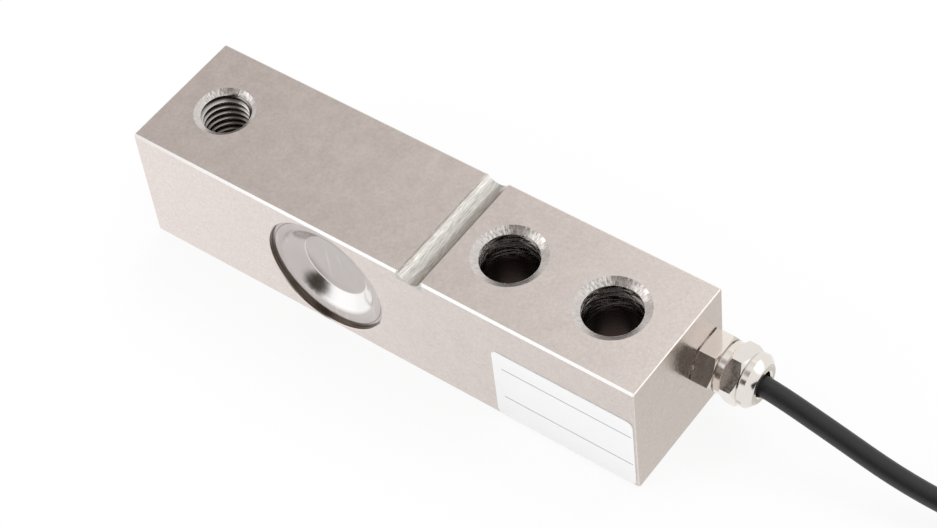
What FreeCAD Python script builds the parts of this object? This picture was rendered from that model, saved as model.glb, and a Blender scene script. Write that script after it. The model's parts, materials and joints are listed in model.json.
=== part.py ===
import FreeCAD, Part
import math
import os

# Shear beam load cell, in millimetres. X runs from the load end to the cable end and Z is up.
# The origin lies on the underside, midway between the two mounting holes.

V = FreeCAD.Vector
X_AXIS = V(1, 0, 0)
Y_AXIS = V(0, 1, 0)
Z_AXIS = V(0, 0, 1)
FRONT = -1
REAR = 1

# Fits between pieces
fit = 0.05
wire_room = 0.1

# Beam
beam_length = 130.0
beam_width = 31.8
beam_height = 31.8
edge_chamfer = 0.5
end_chamfer = 0.2

# Holes along the beam, each placed from the one before it, starting at the load end
load_hole_inset = 12.7
load_to_mount = 76.2
mount_pitch = 25.4
load_drill = 10.2
load_sink = 13.8
mount_hole = 13.0
mount_sink = 16.5
sink_angle = 120.0
underside_sink = 0.6

# Relief groove across the top, placed from the mounting hole beside it
groove_to_mount = 14.2
groove_radius = 3.2
groove_depth = 2.0

# Gauge pockets, one in each side
load_to_gauge = 37.6
pocket_bore = 26.0
web_thickness = 5.8
seat_bore = 30.1
seat_depth = 1.9
seat_chamfer = 0.25
feed_hole = 2.6
feed_across = 8.6
feed_up = -3.0

# Dished sealing cup with a flat flange
cup_sheet = 0.8
cup_dish_depth = 2.8
cup_dish_radius = 12.1
cup_floor_radius = 8.2
cup_foot_bend = 0.2
cup_crest_bend = 0.45

# Strain gauges
gauge_width = 8.0
gauge_height = 6.0
backing_thickness = 0.1
foil_thickness = 0.05
grid_length = 2.6
grid_pitch = 0.42
grid_line = 0.2
grid_lines = 6
grid_centre_across = 1.9
grid_centre_up = -0.5
tab_width = 1.3
tab_height = 0.9
tab_pitch = 2.4
tab_up = 2.3

# Terminal board beside the rear gauge
board_width = 10.4
board_height = 4.6
board_thickness = 1.0
board_up = 7.0
pad_size = 0.9
pad_thickness = 0.1
core_pad_pitch = 2.7
core_pad_up = 8.4
gauge_pad_pitch = 1.8
gauge_pad_up = 5.6
resistor_length = 2.0
resistor_width = 0.7
resistor_thickness = 0.5
resistor_pitch = 4.2

# Protective coat over each gauge's grids
coat_thickness = 0.6
coat_height = 4.4
coat_up = -0.8

# Inner wires: square jumpers at the gauges and round cores from the cable
gauge_wire = 0.3
gauge_wire_rise = 1.2
gauge_wire_pitch = 0.7
core_wire = 0.9
core_spacing = 1.2
core_rise = 2.6
core_bend_across = 10.0

# Cable gland, on an axis parallel to X
gland_inset = 5.7
gland_z = 15.4
gland_hex = 12.0
gland_hex_length = 4.6
gland_hex_chamfer = 0.45
gland_boss = 11.0
gland_boss_height = 0.25
gland_thread = 8.0
gland_thread_length = 7.0
gland_tap_spare = 0.6
passage_bore = 3.4
o_ring_wire = 0.7
o_ring_sink = 1.2
nut_gap = 0.4
nut_thread = 10.0
nut_thread_length = 4.6
nut_wall = 2.8
nut_hex = 12.0
nut_hex_turn = -13.7
nut_length = 8.5
nut_collar = 11.8
nut_collar_length = 1.3
nut_back_chamfer = 0.9
nut_hex_end = 4.4
nut_front_chamfer = 0.9
nut_neck = 5.8
nut_neck_length = 0.3
nut_dome = 6.1
nut_nose = 4.4
nut_lip = 0.8
nut_ball = 7.6
nut_mouth = 5.75
nut_mouth_chamfer = 0.35
seal_length = 4.2
seal_wall = 1.5
washer_thickness = 0.6
washer_wall = 1.8
washer_room = 0.3

# Rating label on the front face
label_length = 34.7
label_height = 21.3
label_thickness = 0.15
label_corner = 1.5
label_margin = 0.1
label_end_margin = 0.4

# Cable, with its unseen length folded into a hank
cable_diameter = 4.6
jacket_end = -5.0
jacket_split = 5.1
cable_first_run = 8.0
hank_run = 92.0
hank_fold = 13.8
hank_columns = 2
hank_rows = 5
hank_pitch = 4.7
hank_waist = 8.0
eye_tip_radius = 1.0
eye_tip_reach = 12.0
tie_thickness = 1.0
tie_width = 2.6
tie_head = 4.6
tie_head_depth = 3.2
tie_end_length = 2.5
sleeve_back = 7.0
sleeve_aside = 14.0
sleeve_angle = 162.0
sleeve_length = 8.0
sleeve_wall = 0.25

# Free cable past its first run, as distance from the beam's end, shift from the gland's axis and height
cable_stops = [
    (27.6, 0.0, 11.8),
    (47.6, -0.2, 6.5),
    (66.0, 2.0, 3.4),
    (84.0, 5.3, 3.3),
]
hank_reach = 136.2

# Bare leads at the far end of the cable, four cores round the screen's wire
lead_wire = 0.9
lead_circle = 2.6
lead_length = 16.0
tip_wire = 0.6
tip_length = 5.0

# Places worked out from those sizes
load_end_x = -(mount_pitch / 2 + load_to_mount + load_hole_inset)
cable_end_x = load_end_x + beam_length
load_hole_x = load_end_x + load_hole_inset
mount_hole_xs = (-mount_pitch / 2, mount_pitch / 2)
groove_x = mount_hole_xs[0] - groove_to_mount
pocket_x = load_hole_x + load_to_gauge
pocket_z = beam_height / 2
face_y = beam_width / 2
gland_y = face_y - gland_inset
web_y = web_thickness / 2
board_top_y = web_y + board_thickness + pad_thickness
gauge_top_y = web_y + backing_thickness + foil_thickness
nut_back = gland_hex_length + nut_gap
washer_end = nut_back + nut_length - nut_wall
seal_end = washer_end - washer_thickness
seal_start = seal_end - seal_length
cable_radius = cable_diameter / 2
loop_x = hank_run / 2
outer_fold = hank_fold + (hank_columns - 1) * hank_pitch
loop_radius = outer_fold + cable_radius
eye_radius = hank_fold - cable_radius
waist_x = hank_waist / 2
waist_y = (hank_columns - 0.5) * hank_pitch + cable_radius
hank_top = tie_thickness + (hank_rows - 1) * hank_pitch + cable_diameter
hank_centre = V(cable_end_x + hank_reach, gland_y + cable_stops[-1][1] - outer_fold, 0)
sleeve_radius = cable_radius + sleeve_wall


# Shared shapes
def corner_arc(before, corner, after, bend):
    """Start, middle and end of the tangent arc that rounds one corner."""
    back = (before - corner).normalize()
    ahead = (after - corner).normalize()
    half = back.getAngle(ahead) / 2
    reach = bend / math.tan(half)
    depth = bend / math.sin(half) - bend
    inward = (back + ahead).normalize()
    return corner + back * reach, corner + inward * depth, corner + ahead * reach


def rounded_path(corners, bends, closed=False):
    """Wire of straight runs, with a tangent arc at each corner that has a bend radius."""
    count = len(corners)
    stops = []
    for i, corner in enumerate(corners):
        if bends[i] > 0:
            stops.append(corner_arc(corners[i - 1], corner, corners[(i + 1) % count], bends[i]))
        else:
            stops.append((corner,))
    edges = []
    for i, stop in enumerate(stops):
        if len(stop) == 3:
            edges.append(Part.Arc(*stop).toShape())
        if closed or i < count - 1:
            edges.append(Part.LineSegment(stop[-1], stops[(i + 1) % count][0]).toShape())
    return Part.Wire(edges)


def widest_bends(points):
    """Largest tangent radius that the runs beside each inner point of a route leave room for."""
    bends = [0]
    for before, corner, after in zip(points, points[1:], points[2:]):
        turn = (corner - before).getAngle(after - corner)
        shorter = min((corner - before).Length, (after - corner).Length)
        bends.append(0.45 * shorter / math.tan(turn / 2))
    return bends + [0]


def tube(points, diameter):
    """Cable along a route of straight runs and tangent arcs."""
    path = rounded_path(points, widest_bends(points))
    section = Part.Wire(Part.Circle(points[0], points[1] - points[0], diameter / 2).toShape())
    return path.makePipeShell([section], True, False)


def bent_wire(points, section):
    """Stiff wire of a given section along straight runs with mitred corners."""
    return Part.makePolygon(points).makePipeShell([section], True, False, 1)


def turned(outline, origin, axis, outward):
    """Solid of revolution from a closed outline of (radius, distance along the axis) corners."""
    corners = [origin + outward * radius + axis * along for radius, along in outline]
    return Part.Face(Part.makePolygon(corners + corners[:1])).revolve(origin, axis, 360)


def eased(before, corner, after, cut):
    """Two points that ease a corner of an outline into a short band, as a pressed bend."""
    points = []
    for side in (before, after):
        share = cut / math.dist(corner, side)
        points.append(tuple(c + (s - c) * share for c, s in zip(corner, side)))
    return points


def rod(start, end, diameter):
    """Straight cylinder between two points."""
    return Part.makeCylinder(diameter / 2, (end - start).Length, start, end - start)


def in_pocket(side, across, up, y):
    """Point in a gauge pocket, from the pocket's axis, at a distance from the beam's middle plane."""
    return V(pocket_x + across, side * y, pocket_z + up)


def slab(side, across, up, base_y, width, height, thickness):
    """Flat block in a gauge pocket that stands on a plane parallel to the web."""
    low = min(side * base_y, side * (base_y + thickness))
    corner = V(pocket_x + across - width / 2, low, pocket_z + up - height / 2)
    return Part.makeBox(width, thickness, height, corner)


def strip(side, start, end, base_y, width, thickness):
    """Flat conductor between two (across, up) places in a gauge pocket, with its ends extended to join."""
    length = math.dist(start, end) + width
    middle = [(a + b) / 2 for a, b in zip(start, end)]
    turn = math.degrees(math.atan2(end[1] - start[1], end[0] - start[0]))
    block = slab(side, middle[0], middle[1], base_y, length, width, thickness)
    block.rotate(in_pocket(side, middle[0], middle[1], base_y), Y_AXIS, -turn)
    return block


def spread(count, pitch):
    """Evenly spaced places about zero."""
    return [(i - (count - 1) / 2) * pitch for i in range(count)]


# Beam
def sunk_hole(x, drill, sink):
    """Vertical through hole with a countersink at the top and a small one underneath."""
    radius = drill / 2
    sink_depth = (sink / 2 - radius) / math.tan(math.radians(sink_angle / 2))
    outline = [
        (0, 0),
        (radius + underside_sink, 0),
        (radius, underside_sink),
        (radius, beam_height - sink_depth),
        (sink / 2, beam_height),
        (0, beam_height),
    ]
    return turned(outline, V(x, 0, 0), Z_AXIS, X_AXIS)


def pocket(side):
    """Stepped round pocket for the gauges, with a seat for the sealing cup."""
    seat = seat_bore / 2
    outline = [
        (0, web_y),
        (pocket_bore / 2, web_y),
        (pocket_bore / 2, face_y - seat_depth),
        (seat, face_y - seat_depth),
        (seat, face_y - seat_chamfer),
        (seat + seat_chamfer, face_y),
        (0, face_y),
    ]
    return turned(outline, V(pocket_x, 0, pocket_z), Y_AXIS * side, Z_AXIS)


def on_gland(along):
    """Point on the gland's axis, from the beam's end face."""
    return V(cable_end_x + along, gland_y, gland_z)


def gland_hole():
    """Tapped hole for the gland with a sink for its ring, and the passage to the rear pocket."""
    thread = gland_thread / 2 + fit
    depth = gland_thread_length + gland_tap_spare
    outline = [
        (0, -depth),
        (thread, -depth),
        (thread, -o_ring_sink),
        (thread + o_ring_sink, 0),
        (0, 0),
    ]
    tapped = turned(outline, on_gland(0), X_AXIS, Z_AXIS)
    return tapped.fuse(rod(V(pocket_x, gland_y, gland_z), on_gland(-depth), passage_bore))


def make_beam():
    bar = Part.makeBox(beam_length, beam_width, beam_height, V(load_end_x, -face_y, 0))
    long_edges = [edge for edge in bar.Edges if edge.BoundBox.XLength > fit]
    bar = bar.makeChamfer(edge_chamfer, long_edges)
    end_edges = [edge for edge in bar.Edges if edge.BoundBox.XLength < fit]
    bar = bar.makeChamfer(end_chamfer, end_edges)
    groove_z = beam_height - groove_depth + groove_radius
    cuts = [rod(V(groove_x, -face_y, groove_z), V(groove_x, face_y, groove_z), groove_radius * 2)]
    cuts.append(sunk_hole(load_hole_x, load_drill, load_sink))
    cuts.extend(sunk_hole(x, mount_hole, mount_sink) for x in mount_hole_xs)
    cuts.extend(pocket(side) for side in (FRONT, REAR))
    feed_ends = [in_pocket(side, feed_across, feed_up, web_y) for side in (FRONT, REAR)]
    cuts.append(rod(feed_ends[0], feed_ends[1], feed_hole))
    cuts.append(gland_hole())
    return bar.cut(cuts)


# Sealing cups, pressed from sheet
def make_cup(side):
    """Dished cup whose flange lies on the pocket's seat."""
    rim = seat_bore / 2 - fit
    seat_y = face_y - seat_depth
    flange_y = seat_y + cup_sheet
    floor_y = flange_y - cup_dish_depth
    slope = math.atan2(cup_dish_depth, cup_dish_radius - cup_floor_radius)
    shift = cup_sheet * math.tan(slope / 2)
    centre = (0, floor_y)
    foot = (cup_floor_radius, floor_y)
    crest = (cup_dish_radius, flange_y)
    edge = (rim, flange_y)
    bends = eased(centre, foot, crest, cup_foot_bend) + eased(foot, crest, edge, cup_crest_bend)
    outline = [centre] + bends + [
        edge,
        (rim, seat_y),
        (cup_dish_radius + shift, seat_y),
        (cup_floor_radius + shift, floor_y - cup_sheet),
        (0, floor_y - cup_sheet),
    ]
    return turned(outline, V(pocket_x, 0, pocket_z), Y_AXIS * side, Z_AXIS)


# Strain gauges on both faces of the web
def make_gauge_backing(side):
    return slab(side, 0, 0, web_y, gauge_width, gauge_height, backing_thickness)


def grid_point(lean, along, up):
    """Place in the gauge's plane of a point in one grid, which leans at 45 degrees."""
    turn = math.radians(45 * lean)
    across = along * math.cos(turn) - up * math.sin(turn)
    rise = along * math.sin(turn) + up * math.cos(turn)
    return (lean * grid_centre_across + across, grid_centre_up + rise)


def make_gauge_foil(side):
    """Two zigzag grids that lean at 45 degrees either way, with three solder tabs above them."""
    base = web_y + backing_thickness
    tabs = [(across, tab_up) for across in spread(3, tab_pitch)]
    runs = []
    for lean in (-1, 1):
        lines = spread(grid_lines, grid_pitch)
        ends = (-grid_length / 2, grid_length / 2)
        for i, along in enumerate(lines):
            runs.append([grid_point(lean, along, up) for up in ends])
            if i:
                up = ends[i % 2]
                runs.append([grid_point(lean, lines[i - 1], up), grid_point(lean, along, up)])
        outer, inner = (lines[0], lines[-1]) if lean < 0 else (lines[-1], lines[0])
        runs.append([grid_point(lean, outer, ends[1]), tabs[1 + lean]])
        runs.append([grid_point(lean, inner, ends[1]), tabs[1]])
    pieces = [strip(side, *run, base, grid_line, foil_thickness) for run in runs]
    pieces += [slab(side, *tab, base, tab_width, tab_height, foil_thickness) for tab in tabs]
    return pieces[0].multiFuse(pieces[1:]).removeSplitter()


def make_gauge_coat(side):
    """Soft coat that lies on the grids and leaves the solder tabs free."""
    return slab(side, 0, coat_up, gauge_top_y, gauge_width, coat_height, coat_thickness)


# Terminal board and what is soldered to it
core_pads = [(across, core_pad_up) for across in spread(4, core_pad_pitch)]
gauge_pads = [(across, gauge_pad_up) for across in spread(6, gauge_pad_pitch)]


def make_terminal_board():
    return slab(REAR, 0, board_up, web_y, board_width, board_height, board_thickness)


def make_terminal_pads():
    base = web_y + board_thickness
    sizes = (pad_size, pad_size, pad_thickness)
    return Part.makeCompound([slab(REAR, *place, base, *sizes) for place in core_pads + gauge_pads])


def make_resistors():
    base = web_y + board_thickness
    sizes = (resistor_length, resistor_width, resistor_thickness)
    places = spread(2, resistor_pitch)
    return Part.makeCompound([slab(REAR, across, board_up, base, *sizes) for across in places])


# Inner wires
def make_gauge_wire(route):
    """Square jumper that starts on one of the gauge's tabs."""
    half = gauge_wire / 2
    offsets = ((-half, -half), (half, -half), (half, half), (-half, half), (-half, -half))
    return bent_wire(route, Part.makePolygon([route[0] + V(across, 0, up) for across, up in offsets]))


def make_rear_gauge_wires():
    """Short jumpers from the rear gauge's tabs to the board."""
    top = board_top_y + gauge_wire_rise
    wires = []
    for across, pad in zip(spread(3, tab_pitch), gauge_pads):
        route = [
            in_pocket(REAR, across, tab_up, gauge_top_y),
            in_pocket(REAR, across, tab_up, top),
            in_pocket(REAR, *pad, top),
            in_pocket(REAR, *pad, board_top_y),
        ]
        wires.append(make_gauge_wire(route))
    return Part.makeCompound(wires)


def make_front_gauge_wires():
    """Wires from the front gauge's tabs, through the feed hole, to the board."""
    wires = []
    for i, (across, pad) in enumerate(zip(spread(3, tab_pitch), gauge_pads[3:])):
        rise = gauge_wire_rise + (2 - i) * gauge_wire_pitch
        hole = (feed_across, feed_up + (i - 1) * gauge_wire_pitch)
        route = [
            in_pocket(FRONT, across, tab_up, gauge_top_y),
            in_pocket(FRONT, across, tab_up, gauge_top_y + rise),
            in_pocket(FRONT, *hole, gauge_top_y + rise),
            in_pocket(REAR, *hole, board_top_y + rise),
            in_pocket(REAR, *pad, board_top_y + rise),
            in_pocket(REAR, *pad, board_top_y),
        ]
        wires.append(make_gauge_wire(route))
    return Part.makeCompound(wires)


def make_core(index):
    """One core of the cable, from the end of its jacket to its pad on the board."""
    lift = core_spacing / 2 * (1 if index in (0, 3) else -1)
    shift = core_spacing / 2 * (-1 if index < 2 else 1)
    y = gland_y + lift
    z = gland_z + shift
    top = board_top_y + core_rise + lift
    route = [
        V(cable_end_x + jacket_end, y, z),
        V(pocket_x + core_bend_across, y, z),
        in_pocket(REAR, *core_pads[index], top),
        in_pocket(REAR, *core_pads[index], board_top_y),
    ]
    return bent_wire(route, Part.Wire(Part.Circle(route[0], X_AXIS, core_wire / 2).toShape()))


# Cable gland
def hexagon(across_flats, start, length, turn):
    """Hexagonal prism on the gland's axis, with a flat on top when it isn't turned."""
    radius = across_flats / math.sqrt(3)
    corners = []
    for i in range(6):
        angle = math.radians(60 * i + turn)
        corners.append(on_gland(start) + V(0, math.cos(angle), math.sin(angle)) * radius)
    return Part.Face(Part.makePolygon(corners + corners[:1])).extrude(X_AXIS * length)


def make_gland_body():
    """Hexagon on a low round boss with a thread at each end, bored for the cable and the seal."""
    flat = gland_hex / 2
    corner = gland_hex / math.sqrt(3)
    bore = cable_radius + wire_room
    stub_end = gland_hex_length + nut_thread_length
    blank = [
        (0, 0),
        (gland_boss / 2, 0),
        (gland_boss / 2, gland_boss_height),
        (corner, gland_boss_height),
        (corner, gland_hex_length - gland_hex_chamfer),
        (flat, gland_hex_length),
        (0, gland_hex_length),
    ]
    head = hexagon(gland_hex, 0, gland_hex_length, 0).common(turned(blank, on_gland(0), X_AXIS, Z_AXIS))
    body = head.fuse(rod(on_gland(-gland_thread_length), on_gland(0), gland_thread))
    body = body.fuse(rod(on_gland(gland_hex_length), on_gland(stub_end), nut_thread))
    seal_room = rod(on_gland(seal_start), on_gland(stub_end), seal_outer_diameter() + 2 * fit)
    return body.cut([rod(on_gland(-gland_thread_length), on_gland(stub_end), bore * 2), seal_room])


def seal_outer_diameter():
    return cable_diameter + 2 * (fit + seal_wall)


def ring(start, length, inner, outer):
    """Plain ring on the gland's axis."""
    return rod(on_gland(start), on_gland(start + length), outer).cut(
        rod(on_gland(start), on_gland(start + length), inner)
    )


def make_gland_seal():
    return ring(seal_start, seal_length, cable_diameter + 2 * fit, seal_outer_diameter())


def make_gland_washer():
    inner = cable_diameter + 2 * washer_room
    return ring(seal_end, washer_thickness, inner, inner + 2 * washer_wall)


def make_gland_o_ring():
    """Ring squeezed to the shape of the room between the thread, the sink in the beam and the hexagon."""
    inner = gland_thread / 2 + 2 * fit
    outline = [(inner, -fit), (inner + o_ring_wire, -fit), (inner, -fit - o_ring_wire)]
    return turned(outline, on_gland(0), X_AXIS, Z_AXIS)


def make_gland_nut():
    """Hexagon nut with a round collar behind its chamfered hexagon and a nose turned to a ball's shape."""
    collar = nut_collar / 2
    corner = nut_hex / math.sqrt(3)
    mouth = nut_mouth / 2
    bore = nut_thread / 2 + fit
    hex_stop = nut_hex_end + nut_front_chamfer
    blank = [
        (0, 0),
        (collar, 0),
        (collar, nut_collar_length),
        (corner, nut_collar_length + nut_back_chamfer),
        (corner, nut_hex_end),
        (nut_neck, hex_stop),
        (0, hex_stop),
    ]
    nose = [
        (0, hex_stop),
        (nut_neck, hex_stop),
        (nut_dome, hex_stop + nut_neck_length),
        (nut_dome, nut_length),
        (0, nut_length),
    ]
    hollow = [
        (0, 0),
        (bore, 0),
        (bore, nut_length - nut_wall),
        (mouth, nut_length - nut_wall),
        (mouth, nut_length - nut_mouth_chamfer),
        (mouth + nut_mouth_chamfer, nut_length),
        (0, nut_length),
    ]
    back = on_gland(nut_back)
    ball_x = nut_back + nut_length - math.sqrt(nut_ball**2 - nut_nose**2)
    head = hexagon(nut_hex, nut_back, hex_stop, nut_hex_turn).common(turned(blank, back, X_AXIS, Z_AXIS))
    dome = turned(nose, back, X_AXIS, Z_AXIS).common(Part.makeSphere(nut_ball, on_gland(ball_x)))
    end_x = back.x + nut_length
    dome = dome.makeFillet(nut_lip, [edge for edge in dome.Edges if edge.BoundBox.XMin > end_x - fit])
    return head.fuse(dome).cut(turned(hollow, back, X_AXIS, Z_AXIS))


# Rating label
def make_label():
    right = cable_end_x - end_chamfer - label_end_margin
    bottom = edge_chamfer + label_margin
    sides = (right - label_length, right)
    levels = (bottom, bottom + label_height)
    corners = [V(sides[i], -face_y, levels[j]) for i, j in ((0, 0), (1, 0), (1, 1), (0, 1))]
    outline = rounded_path(corners, [label_corner] * 4, closed=True)
    return Part.Face(outline).extrude(Y_AXIS * -label_thickness)


# Cable and its hank
def on_hank(along, aside, height):
    """Point from the middle of the hank, which lies along X."""
    return hank_centre + V(along, aside, height)


def make_cable_in_gland():
    return rod(on_gland(jacket_end), on_gland(jacket_split), cable_diameter)


def cable_route():
    """Corners of the free stretch, from inside the gland to the hank's outer turn."""
    route = [on_gland(jacket_split), on_gland(jacket_split + cable_first_run)]
    for along, shift, height in cable_stops:
        route.append(V(cable_end_x + along, gland_y + shift, height))
    return route


def make_cable(hank):
    return tube(cable_route(), cable_diameter).cut(hank)


def mirrored(point, ends):
    """A point of the hank's outline carried to one of its four quarters."""
    return on_hank(point[0] * ends[0], point[1] * ends[1], tie_thickness)


def hank_outline():
    """Two round end loops, drawn in to a waist by arcs that are tangent to both."""
    reach = loop_x - waist_x
    hollow = (reach**2 + waist_y**2 - loop_radius**2) / (2 * (loop_radius - waist_y))
    hollow_y = waist_y + hollow
    lean = math.atan2(reach, hollow_y)
    waist = (waist_x, waist_y)
    middle = (waist_x + hollow * math.sin(lean / 2), hollow_y - hollow * math.cos(lean / 2))
    touch = (waist_x + hollow * math.sin(lean), hollow_y - hollow * math.cos(lean))
    edges = []
    for side in (1, -1):
        edges.append(Part.LineSegment(mirrored(waist, (-1, side)), mirrored(waist, (1, side))))
        for end in (1, -1):
            edges.append(Part.Arc(*[mirrored(point, (end, side)) for point in (waist, middle, touch)]))
    for end in (1, -1):
        tip = (loop_x + loop_radius, 0)
        stops = [mirrored(touch, (end, 1)), mirrored(tip, (end, 1)), mirrored(touch, (end, -1))]
        edges.append(Part.Arc(*stops))
    return Part.Wire(Part.sortEdges([edge.toShape() for edge in edges])[0])


def eye_outline(end):
    """Opening of one end loop, which tapers towards the waist."""
    tip_x = waist_x + eye_tip_reach
    lean = math.asin((eye_radius - eye_tip_radius) / (loop_x - tip_x))
    wide = (loop_x - eye_radius * math.sin(lean), eye_radius * math.cos(lean))
    narrow = (tip_x - eye_tip_radius * math.sin(lean), eye_tip_radius * math.cos(lean))
    edges = []
    for point, far in ((wide, loop_x + eye_radius), (narrow, tip_x - eye_tip_radius)):
        stops = [mirrored(point, (end, 1)), mirrored((far, 0), (end, 1)), mirrored(point, (end, -1))]
        edges.append(Part.Arc(*stops))
    for side in (1, -1):
        edges.append(Part.LineSegment(mirrored(narrow, (end, side)), mirrored(wide, (end, side))))
    return Part.Wire(Part.sortEdges([edge.toShape() for edge in edges])[0])


def make_cable_hank():
    up = Z_AXIS * (hank_top - tie_thickness)
    eyes = [Part.Face(eye_outline(end)).extrude(up) for end in (1, -1)]
    return Part.Face(hank_outline()).extrude(up).cut(eyes)


def tie_block(aside, height, depth, width, tall):
    """Block on the line of the tie, from a distance aside outwards."""
    return Part.makeBox(width, depth, tall, on_hank(-width / 2, aside, height))


def make_cable_tie(hank):
    """Strap round the hank's waist, with its head on one side."""
    reach = waist_y + tie_thickness
    strap = tie_block(-reach, 0, 2 * reach, tie_width, hank_top + tie_thickness)
    head_z = (hank_top - tie_head) / 2
    head = tie_block(waist_y, head_z, tie_head_depth, tie_head, tie_head)
    end_y = waist_y + (tie_head_depth - tie_thickness) / 2
    end = tie_block(end_y, head_z + tie_head, tie_thickness, tie_width, tie_end_length)
    return strap.fuse([head, end]).cut(hank)


def sleeve_frame():
    """Forward and sideways directions of the sleeve."""
    turn = math.radians(sleeve_angle)
    return V(math.cos(turn), math.sin(turn), 0), V(math.sin(turn), -math.cos(turn), 0)


def on_sleeve(along):
    """Point on the axis of the sleeve, which lies on top of the hank where the cable ends."""
    start = on_hank(loop_x - sleeve_back, -sleeve_aside, hank_top + sleeve_radius)
    return start + sleeve_frame()[0] * along


def make_end_sleeve():
    return rod(on_sleeve(0), on_sleeve(sleeve_length), sleeve_radius * 2)


def lead_shift(index):
    """Offset of one lead from the sleeve's axis; the last is the screen's wire in the middle."""
    if index == 4:
        return V(0, 0, 0)
    turn = math.radians(90 * index + 45)
    return (sleeve_frame()[1] * math.cos(turn) + Z_AXIS * math.sin(turn)) * (lead_circle / 2)


def make_lead(index):
    shift = lead_shift(index)
    return rod(on_sleeve(sleeve_length) + shift, on_sleeve(sleeve_length + lead_length) + shift, lead_wire)


def make_tinned_tips():
    start = sleeve_length + lead_length
    ends = [on_sleeve(start), on_sleeve(start + tip_length)]
    shifts = [lead_shift(index) for index in range(5)]
    return Part.makeCompound([rod(ends[0] + shift, ends[1] + shift, tip_wire) for shift in shifts])


# Every piece by name
hank = make_cable_hank()
pieces = {
    "beam": make_beam(),
    "front_cup": make_cup(FRONT),
    "rear_cup": make_cup(REAR),
    "front_gauge_backing": make_gauge_backing(FRONT),
    "rear_gauge_backing": make_gauge_backing(REAR),
    "front_gauge_foil": make_gauge_foil(FRONT),
    "rear_gauge_foil": make_gauge_foil(REAR),
    "front_gauge_coat": make_gauge_coat(FRONT),
    "rear_gauge_coat": make_gauge_coat(REAR),
    "terminal_board": make_terminal_board(),
    "terminal_pads": make_terminal_pads(),
    "bridge_resistors": make_resistors(),
    "front_gauge_wires": make_front_gauge_wires(),
    "rear_gauge_wires": make_rear_gauge_wires(),
    "gland_body": make_gland_body(),
    "gland_o_ring": make_gland_o_ring(),
    "gland_seal": make_gland_seal(),
    "gland_washer": make_gland_washer(),
    "gland_nut": make_gland_nut(),
    "rating_label": make_label(),
    "cable_in_gland": make_cable_in_gland(),
    "cable": make_cable(hank),
    "cable_hank": hank,
    "cable_tie": make_cable_tie(hank),
    "end_sleeve": make_end_sleeve(),
    "tinned_tips": make_tinned_tips(),
}
for index, colour in enumerate(("red", "black", "green", "white")):
    pieces["core_" + colour] = make_core(index)
for index, colour in enumerate(("red", "black", "green", "white", "screen")):
    pieces["lead_" + colour] = make_lead(index)

print("cable bend radii", [round(bend, 1) for bend in widest_bends(cable_route())[1:-1]])
os.makedirs("parts", exist_ok=True)
for name, shape in pieces.items():
    shape.exportStep("parts/" + name + ".step")
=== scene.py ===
"""Looks of a cantilever beam load cell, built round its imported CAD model."""
import json
import math

import bpy
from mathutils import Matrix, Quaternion, Vector


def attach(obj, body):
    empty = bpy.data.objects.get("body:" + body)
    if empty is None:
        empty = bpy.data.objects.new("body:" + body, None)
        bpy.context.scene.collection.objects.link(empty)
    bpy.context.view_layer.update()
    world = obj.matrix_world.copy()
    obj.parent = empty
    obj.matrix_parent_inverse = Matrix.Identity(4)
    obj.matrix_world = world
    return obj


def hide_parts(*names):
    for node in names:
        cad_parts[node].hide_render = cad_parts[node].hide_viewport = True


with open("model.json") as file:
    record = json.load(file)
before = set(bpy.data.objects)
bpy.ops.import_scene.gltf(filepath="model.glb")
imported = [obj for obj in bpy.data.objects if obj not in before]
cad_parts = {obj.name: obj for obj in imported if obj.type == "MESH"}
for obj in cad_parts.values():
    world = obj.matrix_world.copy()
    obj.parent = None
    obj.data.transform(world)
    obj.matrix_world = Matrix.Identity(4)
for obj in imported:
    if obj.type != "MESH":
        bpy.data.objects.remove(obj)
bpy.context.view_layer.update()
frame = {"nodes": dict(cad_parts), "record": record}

MM = 0.001
nodes = frame["nodes"]

# Camera, fitted to the edges of the beam in the photograph: place in millimetres, angles in degrees
LENS = 99.43
SENSOR = 36.0
CLIP = (0.01, 50.0)
CAMERA_PLACE = (208.155, -254.167, 439.143)
CAMERA_AZIMUTH = 42.44
CAMERA_ELEVATION = 50.49
CAMERA_ROLL = -8.02

# Beam, in millimetres of the CAD frame
BEAM_TOP = 31.8
BEAM_END = 28.4
LOAD_END = -101.6
BEAM_HALF = 15.9
EDGE_CHAMFER = 0.5
LOAD_X = -88.9
MOUNT_X = (-12.7, 12.7)
LOAD_SINK_RADIUS = 6.9
MOUNT_SINK_RADIUS = 8.25
LOAD_SINK_DEPTH = 0.84
MOUNT_SINK_DEPTH = 1.01
GROOVE_X = -26.9
POCKET_X = -51.3
POCKET_Z = 15.9
POCKET_RADIUS = 15.05
CUP_FLOOR_RADIUS = 8.2
CUP_WALL_RADIUS = 11.6
CUP_SEAM_RADIUS = 14.25

# Thread of the load hole
THREAD_PITCH = 1.75
THREAD_MAJOR_RADIUS = 6.0
THREAD_CREST_RADIUS = 5.02
THREAD_STEPS = 72
THREAD_TURNS = 22
THREAD_START = -3.0
THREAD_LEAD_RADIUS = 5.45
THREAD_LEAD_START = 29.6
THREAD_LEAD_LENGTH = 1.2
THREAD_PROFILE = (
    (THREAD_CREST_RADIUS, 0.0),
    (THREAD_MAJOR_RADIUS, 0.56),
    (THREAD_MAJOR_RADIUS, 0.78),
    (THREAD_CREST_RADIUS, 1.34),
)

# Cable route in millimetres, the same points as the CAD tube's; the cable's length is in metres
CABLE_DIAMETER = 4.6
CABLE_ROUTE = (
    (33.5, 10.2, 15.4),
    (41.5, 10.2, 15.4),
    (56.0, 10.2, 11.8),
    (76.0, 10.0, 6.5),
    (94.4, 12.2, 3.4),
    (112.4, 15.5, 3.3),
)
CABLE_ROUTE_ORDER = 3
CABLE_ROUTE_STEPS = 6
CABLE_ROUNDNESS = 7

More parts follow.
